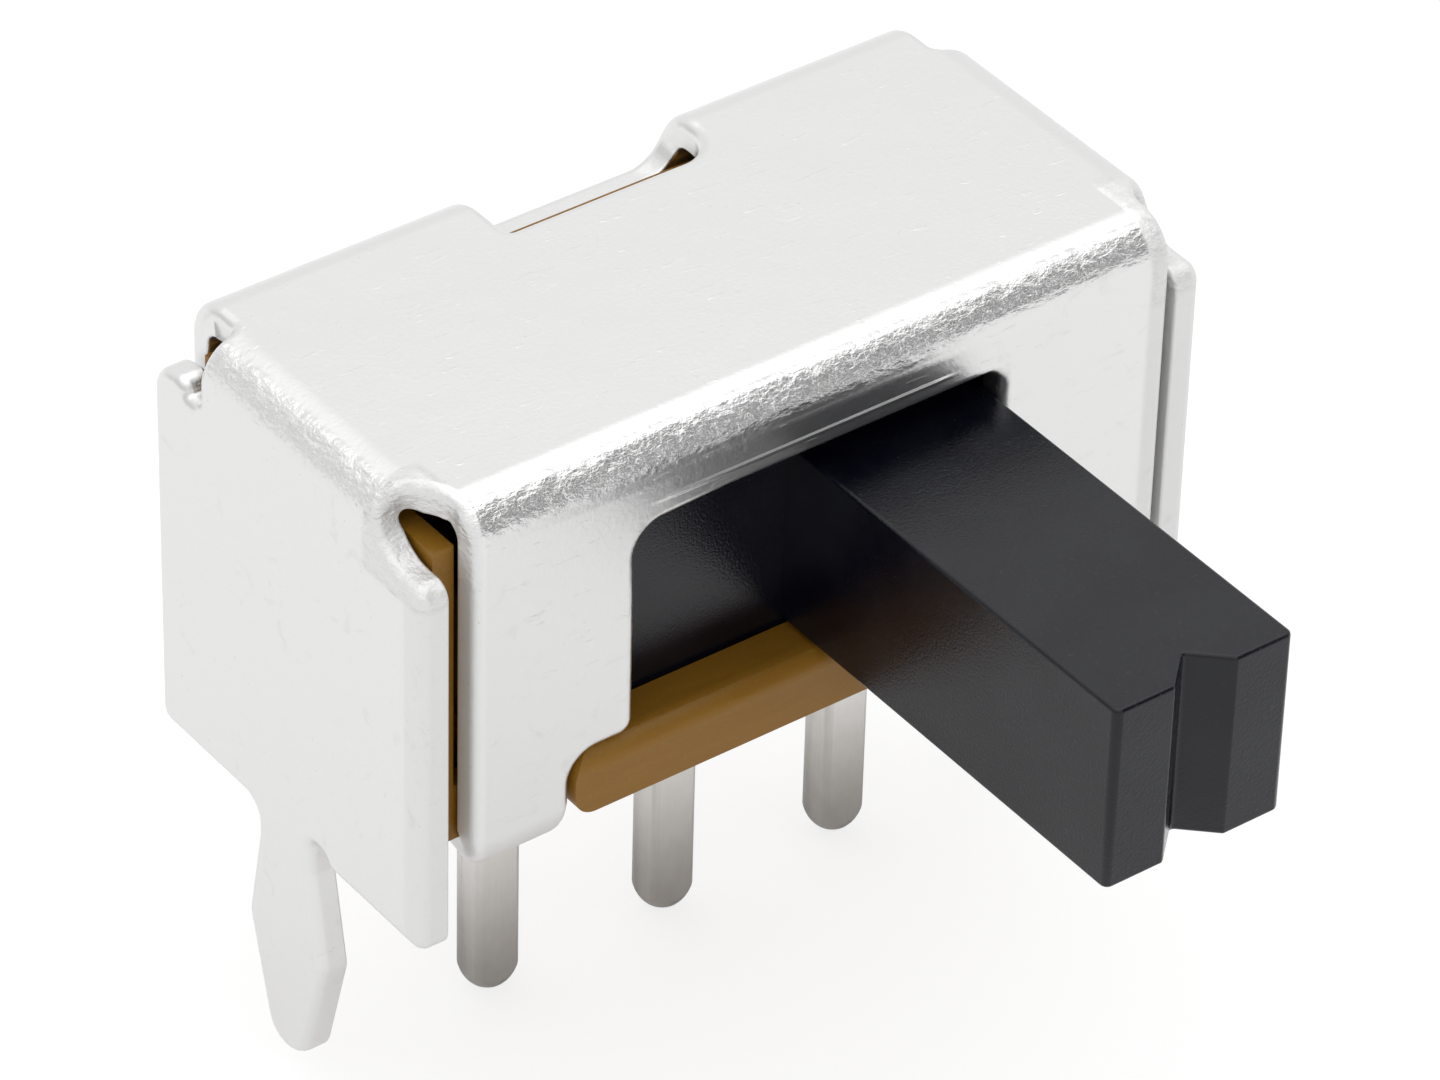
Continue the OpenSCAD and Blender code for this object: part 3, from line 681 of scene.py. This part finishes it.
def pin_tree():
    """Geometry Nodes that make one pin from its sizes and its place along the row"""
    tree = bpy.data.node_groups.new("straight pin", "GeometryNodeTree")
    tree.interface.new_socket("Geometry", in_out="OUTPUT", socket_type="NodeSocketGeometry")
    for name in PIN_SIZES:
        tree.interface.new_socket(name, in_out="INPUT", socket_type="NodeSocketFloat")
    tree.interface.new_socket("Finish", in_out="INPUT", socket_type="NodeSocketMaterial")
    given = tree.nodes.new("NodeGroupInput").outputs
    (width, thickness, tip, top, place, shoulder_width, shoulder_low, shoulder_high,
     tip_radius, nose_radius, blade_radius, edge_radius, bullet_radius,
     bullet_length) = (given[name] for name in PIN_SIZES)

    def maths(operation, a, b):
        return add_node(tree, "ShaderNodeMath", {"operation": operation}, {0: a, 1: b})

    def vector(x, y, z):
        return add_node(tree, "ShaderNodeCombineXYZ", {}, {"X": x, "Y": y, "Z": z})

    def moved(mesh, **inputs):
        return add_node(tree, "GeometryNodeTransform", {}, {"Geometry": mesh, **inputs})

    height, middle = maths("SUBTRACT", top, tip), maths("MULTIPLY", maths("ADD", top, tip), 0.5)
    upward = tree.nodes.new("ShaderNodeSeparateXYZ")
    tree.links.new(add_node(tree, "GeometryNodeInputPosition"), upward.inputs[0])
    is_low = maths("LESS_THAN", upward.outputs["Y"], 0.0)

    def slab(wide, high, deep, low_radius, high_radius):
        """A plate centred on the origin, with one radius at its lower corners and one at its upper corners"""
        outline = add_node(tree, "GeometryNodeCurvePrimitiveQuadrilateral", {}, {"Width": wide, "Height": high})
        radius = maths("ADD", high_radius, maths("MULTIPLY", is_low, maths("SUBTRACT", low_radius, high_radius)))
        soft = add_node(tree, "GeometryNodeFilletCurve", {"mode": "POLY"},
                        {"Curve": outline, "Radius": radius, "Count": CORNER_POINTS, "Limit Radius": True})
        face = add_node(tree, "GeometryNodeFillCurve", {"mode": "NGONS"}, {"Curve": soft})
        pushed = add_node(tree, "GeometryNodeExtrudeMesh", {"mode": "FACES"},
                          {"Mesh": face, "Offset Scale": deep, "Individual": False})
        turned = add_node(tree, "GeometryNodeFlipFaces", {}, {"Mesh": face})
        both = add_node(tree, "GeometryNodeJoinGeometry", {}, {"Geometry": (pushed, turned)})
        closed = add_node(tree, "GeometryNodeMergeByDistance", {}, {"Geometry": both, "Distance": MERGE_WITHIN})
        return moved(closed, Translation=vector(0.0, 0.0, maths("MULTIPLY", deep, -0.5)))

    def boolean(operation, *meshes):
        return add_node(tree, "GeometryNodeMeshBoolean", {"operation": operation, "solver": "EXACT"},
                        {"Mesh 2": meshes})

    from_front = slab(width, height, thickness, tip_radius, blade_radius)
    from_side = moved(slab(thickness, height, width, nose_radius, blade_radius), Rotation=(0, math.pi / 2, 0))
    from_above = moved(slab(width, thickness, height, edge_radius, edge_radius), Rotation=(math.pi / 2, 0, 0))
    ball = add_node(tree, "GeometryNodeMeshUVSphere", {},
                    {"Segments": BALL_SEGMENTS, "Rings": BALL_RINGS, "Radius": 1.0})
    oval = moved(ball, Scale=vector(bullet_radius, bullet_radius, bullet_length))
    stretch = maths("MULTIPLY", maths("GREATER_THAN", upward.outputs["Z"], 0.0), height)
    long_oval = add_node(tree, "GeometryNodeSetPosition", {},
                         {"Geometry": oval, "Offset": vector(0.0, 0.0, stretch)})
    bullet_centre = maths("ADD", maths("MULTIPLY", height, -0.5), bullet_length)
    bullet = moved(long_oval, Translation=vector(0.0, bullet_centre, 0.0), Rotation=(-math.pi / 2, 0, 0))
    blade = boolean("INTERSECT", from_front, from_side, from_above, bullet)
    size = vector(shoulder_width, maths("SUBTRACT", shoulder_high, shoulder_low), thickness)
    shoulder_z = maths("SUBTRACT", maths("MULTIPLY", maths("ADD", shoulder_high, shoulder_low), 0.5), middle)
    shoulder = moved(add_node(tree, "GeometryNodeMeshCube", {}, {"Size": size}),
                     Translation=vector(0.0, shoulder_z, 0.0))
    upright = moved(boolean("UNION", blade, shoulder), Rotation=(math.pi / 2, 0, 0),
                    Translation=vector(place, 0.0, middle))
    real = add_node(tree, "GeometryNodeRealizeInstances", {}, {"Geometry": upright})
    done = add_node(tree, "GeometryNodeSetMaterial", {}, {"Geometry": real, "Material": given["Finish"]})
    tree.links.new(done, tree.nodes.new("NodeGroupOutput").inputs[0])
    return tree


def grow(name, tree, values):
    """An object whose mesh a tree makes, with each input set by its socket's identifier"""
    piece = bpy.data.objects.new(name, bpy.data.meshes.new(name))
    bpy.context.scene.collection.objects.link(piece)
    recipe = piece.modifiers.new(tree.name, "NODES")
    recipe.node_group = tree
    for socket in tree.interface.items_tree:
        if socket.in_out == "INPUT" and socket.name in values:
            recipe[socket.identifier] = values[socket.name]
    return settle(piece)


pins = pin_tree()
print("the pin's tree has", len(pins.nodes), "nodes")

# %% [markdown]
# ## Tinned sheet
# Tin plating is pale, nearly white, and half matt. A plain metal shader would look like plastic, so four things
# are added. The press has crazed the plating where it was bent. It left the sheet rough and dull where it sheared
# the front wall's ends and tore the corners at the front reliefs, and it left a low ridge above the window.
# Handling has added faint specks, scratches and smudges. All of it is noise under a mask. The masks read the
# shell's own millimetres, so they stay on their bend, and each pair says where a mask starts and where it is full.

# %% Tinned sheet
BRIGHT_TIN, DULL_TIN = (0.83, 0.83, 0.825, 1), (0.72, 0.72, 0.705, 1)
SPECK_GREY = (0.50, 0.50, 0.485, 1)
TIN_BUMP, TIN_ROUGHNESS = 0.045, 0.27
CRAZED_UP_FROM, CRAZED_UP_TO = (TOP - FOLD * 0.85, TOP - FOLD * 0.5), (TOP - 0.02, TOP - 0.07)
PAST_SIDE_FOLD, PAST_FRONT_FOLD = (SIDE_FOLD + 0.1, SIDE_FOLD + 0.2), (-FRONT_FOLD + 0.1, -FRONT_FOLD + 0.2)
SHEARED_OUT, SHEARED_FORWARD = (3.60, 3.67), (1.90, 1.95)
TORN_OUT, TORN_FORWARD, TORN_UP = (3.62, 3.72), (1.25, 1.40), (3.72, 3.85)
RIDGE_Z, RIDGE_X, RIDGE_FADE, RIDGE_REACH = SLOT_TOP + 0.20, -0.2, (0.035, 0.0), (1.7, 1.3)


def tinned_sheet():
    """Plated steel that is crazed on its bends and rough where the press cut or tore it"""
    finish = new_finish("tinned_sheet")
    here = finish.place()
    x, y, z = finish.node("ShaderNodeSeparateXYZ", {}, {"Vector": here})
    out, forward = abs(x), -y
    front = forward.step(*PAST_FRONT_FOLD)
    bend = z.step(*CRAZED_UP_FROM) * z.step(*CRAZED_UP_TO) * out.step(*PAST_SIDE_FOLD).most(front)
    sheared = out.step(*SHEARED_OUT) * forward.step(*SHEARED_FORWARD)
    torn = out.step(*TORN_OUT) * forward.step(*TORN_FORWARD) * z.step(*TORN_UP)
    ridge = abs(z - RIDGE_Z).step(*RIDGE_FADE) * abs(x - RIDGE_X).step(*RIDGE_REACH) * front
    crazed = finish.noise(finish.place(stretch=(0.5, 0.5, 1)), 10, detail=4, roughness=0.6)
    orange_peel = finish.noise(here, 22)
    slow = finish.noise(here, 0.8)
    smudge = finish.noise(here, 3.2, detail=5, roughness=0.62, distortion=0.8).step(0.58, 0.74)
    speck = finish.noise(here, 15, detail=3, roughness=0.7).step(0.69, 0.74)
    scratch_at = finish.place(stretch=(1.2, 9, 9), turn=(0.3, 0.2, 0.6))
    scratch = finish.noise(scratch_at, 2.4, detail=1, distortion=0.2).step(0.70, 0.72)
    colour = finish.mix(smudge * 0.45, BRIGHT_TIN, DULL_TIN)
    colour = finish.mix(speck * 0.5, colour, SPECK_GREY)
    pressed = crazed * (bend * 0.9 + torn * 0.8) + ridge * 0.3
    handled = orange_peel * 0.04 + slow * 0.25 + scratch * 0.03
    cut = sheared.most(torn)
    roughness = TIN_ROUGHNESS + smudge * 0.10 + orange_peel * 0.06 + cut * 0.15
    return finish.surface(Base_Color=colour, Metallic=1.0 - cut * 0.6, Roughness=roughness,
                          Normal=finish.bump(pressed + handled, TIN_BUMP))


TINNED_SHEET = tinned_sheet()

# %% [markdown]
# ## Amber moulding
# The base is a glass-filled thermoset the colour of toffee. Flow lines run along its length, as the melt ran in the
# mould, and the glass shows as a fine, paler grain. Both are noise: the first is stretched along X, the second is
# even. A single colour would do from afar, but up close the ledge would look like paint. The skin is half glossy.

# %% Amber moulding
DARK_TOFFEE, PALE_TOFFEE = (0.235, 0.108, 0.009, 1), (0.30, 0.145, 0.016, 1)
GLASS_GRAIN = (0.40, 0.23, 0.06, 1)
AMBER_IOR, AMBER_ROUGHNESS, AMBER_BUMP = 1.4, 0.30, 0.012


def amber_moulding():
    """Toffee-coloured plastic with flow lines along its length and a pale grain"""
    finish = new_finish("amber_moulding")
    flow = finish.noise(finish.place(stretch=(0.35, 2.0, 2.0)), 2.6, detail=4, roughness=0.6, distortion=0.5)
    grain = finish.noise(finish.place(), 26, roughness=0.6)
    colour = finish.mix(flow, DARK_TOFFEE, PALE_TOFFEE)
    colour = finish.mix(grain.step(0.60, 0.78) * 0.35, colour, GLASS_GRAIN)
    height = flow * 0.4 + grain * 0.25
    return finish.surface(Base_Color=colour, Roughness=AMBER_ROUGHNESS + grain * 0.10, IOR=AMBER_IOR,
                          Normal=finish.bump(height, AMBER_BUMP))


AMBER_MOULDING = amber_moulding()

# %% [markdown]
# ## Black moulding
# The slider is a black nylon with glass in it. Its skin is smooth enough to mirror the lip and the window close to
# it, and a very fine grain spreads the room's light over each face as a dark grey. A rough shader would give the
# grey, but no mirrored lip, so the surface is glossy and the grain is a shallow bump. A slow cloud keeps the
# faces from looking painted, and a few fibres at the surface are paler.

# %% Black moulding
DEEP_BLACK, CLOUD_BLACK, FIBRE_GREY = ((0.0018, 0.0020, 0.0060, 1), (0.0060, 0.0066, 0.0110, 1),
                                       (0.020, 0.021, 0.027, 1))
BLACK_IOR, BLACK_ROUGHNESS, BLACK_BUMP = 1.44, 0.10, 0.004


def black_moulding():
    """Glossy black plastic under a very fine grain, with paler fibres"""
    finish = new_finish("black_moulding")
    here = finish.place()
    grain = finish.noise(here, 34, detail=3, roughness=0.7)
    fleck = finish.noise(here, 21, detail=4, roughness=0.75).step(0.62, 0.74)
    cloud = finish.noise(here, 1.1, detail=3)
    colour = finish.mix(cloud.step(0.35, 0.7), DEEP_BLACK, CLOUD_BLACK)
    colour = finish.mix(fleck, colour, FIBRE_GREY)
    return finish.surface(Base_Color=colour, Roughness=BLACK_ROUGHNESS + cloud * 0.06, IOR=BLACK_IOR,
                          Normal=finish.bump(grain + fleck * 0.3, BLACK_BUMP))


BLACK_MOULDING = black_moulding()

# %% [markdown]
# ## Tinned pins and the bronze strip
# The pins were cut from tinned strip. Their faces show drag lines along the pin, and their colour is painted
# darker from the board down to the tip: painted shade for the shadowed paper that the lower pin mirrors. The
# moving contact is phosphor bronze with a warm, finely brushed face. It is hidden in every picture, so it keeps
# its imported mesh and gets a finish only.

# %% Tinned pins and bronze strip
# The pale pin colour is the tin's own; the dark one is painted shade, reached between 0.8 and 2.8 mm below the board
PALE_PIN, PAINTED_SHADE_PIN = (0.90, 0.89, 0.87, 1), (0.36, 0.34, 0.32, 1)
PAINTED_SHADE_DOWN = (0.8, 2.8)
BRONZE, TARNISHED = (0.62, 0.40, 0.20, 1), (0.36, 0.20, 0.09, 1)


def tinned_pin():
    """Plated pin with drag lines along it, and painted shade that darkens it towards its tip"""
    finish = new_finish("tinned_pin")
    here = finish.place()
    z = finish.node("ShaderNodeSeparateXYZ", {}, {"Vector": here})[2]
    drag = finish.noise(finish.place(stretch=(8, 8, 0.6)), 2.5, detail=3, roughness=0.6)
    mottled = finish.noise(here, 5, detail=3)
    # Painted shade: the colour darkens downwards to the tip; the mottle mixed in is the pin's own random tone
    colour = finish.mix((-z).step(*PAINTED_SHADE_DOWN) * 0.85 + mottled * 0.15, PALE_PIN, PAINTED_SHADE_PIN)
    height = drag * 0.6 + mottled * 0.4
    return finish.surface(Base_Color=colour, Metallic=1.0, Roughness=0.30 + drag * 0.16,
                          Normal=finish.bump(height, 0.02, 0.7))


def bronze_strip():
    """Brushed phosphor bronze with a little tarnish"""
    finish = new_finish("bronze_strip")
    brushed = finish.noise(finish.place(stretch=(0.5, 12, 12)), 4, detail=3)
    tarnish = finish.noise(finish.place(), 2.5, detail=4).step(0.45, 0.75)
    colour = finish.mix(tarnish * 0.6, BRONZE, TARNISHED)
    return finish.surface(Base_Color=colour, Metallic=1.0, Roughness=0.26 + brushed * 0.18,
                          Normal=finish.bump(brushed, 0.008, 0.6))


TINNED_PIN, BRONZE_STRIP = tinned_pin(), bronze_strip()

# %% [markdown]
# ## Dress the pieces
# Each piece now gets its finish and is tied to the imported model: to the body that it rides on, while the
# plain CAD node that it stands for is hidden.

# %% Dress the pieces
PIN_MM = {"Width": 0.48, "Shoulder Low": 1.07, "Shoulder High": 1.37, "Tip Radius": 0.2, "Nose Radius": 0.15,
          "Blade Radius": 0.08, "Edge Radius": 0.07, "Bullet Radius": 0.3, "Bullet Length": 0.38}

dress(shell, TINNED_SHEET, "housing", "shell", "shell")
dress(base, AMBER_MOULDING, "housing", "base", "base")
dress(slider, BLACK_MOULDING, "actuator", "slider", "slider")

for name in ("terminal_left", "terminal_centre", "terminal_right"):
    low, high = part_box(name)
    values = {size_name: size * MM for size_name, size in PIN_MM.items()}
    values |= {"Thickness": high.y - low.y, "Tip": low.z, "Top": high.z, "Place": (low.x + high.x) / 2,
               "Shoulder Width": high.x - low.x, "Finish": TINNED_PIN}
    pin = grow(name.replace("terminal", "pin"), pins, values)
    soften(pin)
    dress(pin, TINNED_PIN, "housing", "terminal", name)

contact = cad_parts["moving_contact"]
contact.data.materials.clear()
contact.data.materials.append(BRONZE_STRIP)

# %% [markdown]
# ## Floor
# The switch stands on white paper that has no edge in the picture. Paper that is only lit would need so much light
# that the pale sheet would burn out, so it also glows a little, to the camera and to mirror rays. The camera sees
# a fainter paper under that glow, so the soft shadow stays as light as on a catalogue page.

# %% Floor
FLOOR_HALF = 300
PAPER, PAPER_SEEN = 0.8, 0.35
GLOW_SEEN, GLOW_MIRRORED = 0.73, 0.2


def white_paper():
    """White paper that glows a little to the camera, and less to mirror rays"""
    finish = new_finish("white_paper")
    seen, _, _, mirrored = finish.node("ShaderNodeLightPath")[:4]
    paper = finish.node("ShaderNodeBsdfDiffuse", {}, {"Color": grey(PAPER)})[0]
    faint = finish.node("ShaderNodeBsdfDiffuse", {}, {"Color": grey(PAPER_SEEN)})[0]
    sheet = finish.node("ShaderNodeMixShader", {}, {0: seen, 1: paper, 2: faint})[0]
    strength = seen * GLOW_SEEN + mirrored * GLOW_MIRRORED
    glow = finish.node("ShaderNodeEmission", {}, {"Color": grey(1.0), "Strength": strength})[0]
    mixed = finish.node("ShaderNodeAddShader", {}, {0: sheet, 1: glow})[0]
    finish.node("ShaderNodeOutputMaterial", {}, {"Surface": mixed})
    return finish.owner


floor_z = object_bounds()[0][2] / MM
corners = [(-FLOOR_HALF, -FLOOR_HALF), (FLOOR_HALF, -FLOOR_HALF), (FLOOR_HALF, FLOOR_HALF), (-FLOOR_HALF, FLOOR_HALF)]
paper_mesh = bmesh.new()
paper_mesh.faces.new([paper_mesh.verts.new((u, v, floor_z)) for u, v in corners])
floor = new_object("floor", paper_mesh)
floor.data.materials.append(white_paper())
print("the floor lies at", round(floor_z, 2), "mm")

# %% [markdown]
# ## The room and its lamp
# A plated sheet shows the room that it mirrors, so the room does more than the lamp. It could be built from white
# and black cards, but a world that grows darker by direction does the same without more objects. It is brighter
# overhead, a little dimmer to the left, and in front on the right stands a dark card, which draws the dark line
# along the lower half of the front bend. Only mirror rays see these zones: every other ray meets an even white
# room. One small softbox, above and behind on the right, adds the shadow and the sheen on the plastic.

# %% World and lamp
ROOM, EVEN_ROOM = 0.90, 0.95
OVERHEAD_GAIN, CARD_LOSS, LEFT_LOSS = 0.55, 0.82, 0.25
CARD_FROM_X, CARD_TO_X, CARD_AHEAD, CARD_UP = (0.15, 0.35), (0.85, 0.65), (0.18, 0.55), (-0.15, 0.1)
LEFT_FROM, LEFT_UP_TO, OVERHEAD_FROM = (0.35, 0.65), (0.6, 0.4), (0.70, 0.84)
LAMP_AT, LAMP_SIZE, LAMP_WATTS = Vector((0.05, 0.03, 0.125)), (0.08, 0.06), 0.008

world = bpy.data.worlds.new("white room")
bpy.context.scene.world = world
sky = Finish(world)
direction = sky.node("ShaderNodeTexCoord")[0]
dx, dy, dz = sky.node("ShaderNodeSeparateXYZ", {}, {"Vector": direction})
card = (-dy).step(*CARD_AHEAD) * dz.step(*CARD_UP) * (dx.step(*CARD_FROM_X) * dx.step(*CARD_TO_X))
leftward = (-dx).step(*LEFT_FROM) * dz.step(*LEFT_UP_TO)
overhead = dz.step(*OVERHEAD_FROM)
zones = (ROOM + overhead * OVERHEAD_GAIN) * (1.0 - card * CARD_LOSS) * (1.0 - leftward * LEFT_LOSS)
seen, _, _, mirrored = sky.node("ShaderNodeLightPath")[:4]
lit = zones * mirrored + (1.0 - mirrored) * EVEN_ROOM
strength = lit * (1.0 - seen) + seen
shade = sky.node("ShaderNodeBackground", {}, {"Color": grey(1.0), "Strength": strength})[0]
sky.node("ShaderNodeOutputWorld", {}, {"Surface": shade})

lamp_data = bpy.data.lights.new("softbox", "AREA")
lamp_data.shape, lamp_data.energy = "RECTANGLE", LAMP_WATTS
lamp_data.size, lamp_data.size_y = LAMP_SIZE
lamp = bpy.data.objects.new("softbox", lamp_data)
lamp.matrix_world = Matrix.Translation(LAMP_AT) @ (-LAMP_AT).to_track_quat("-Z", "Y").to_matrix().to_4x4()
bpy.context.scene.collection.objects.link(lamp)
bpy.context.scene.view_settings.view_transform = "Standard"
print("the softbox stands at", [round(c / MM) for c in LAMP_AT], "mm")
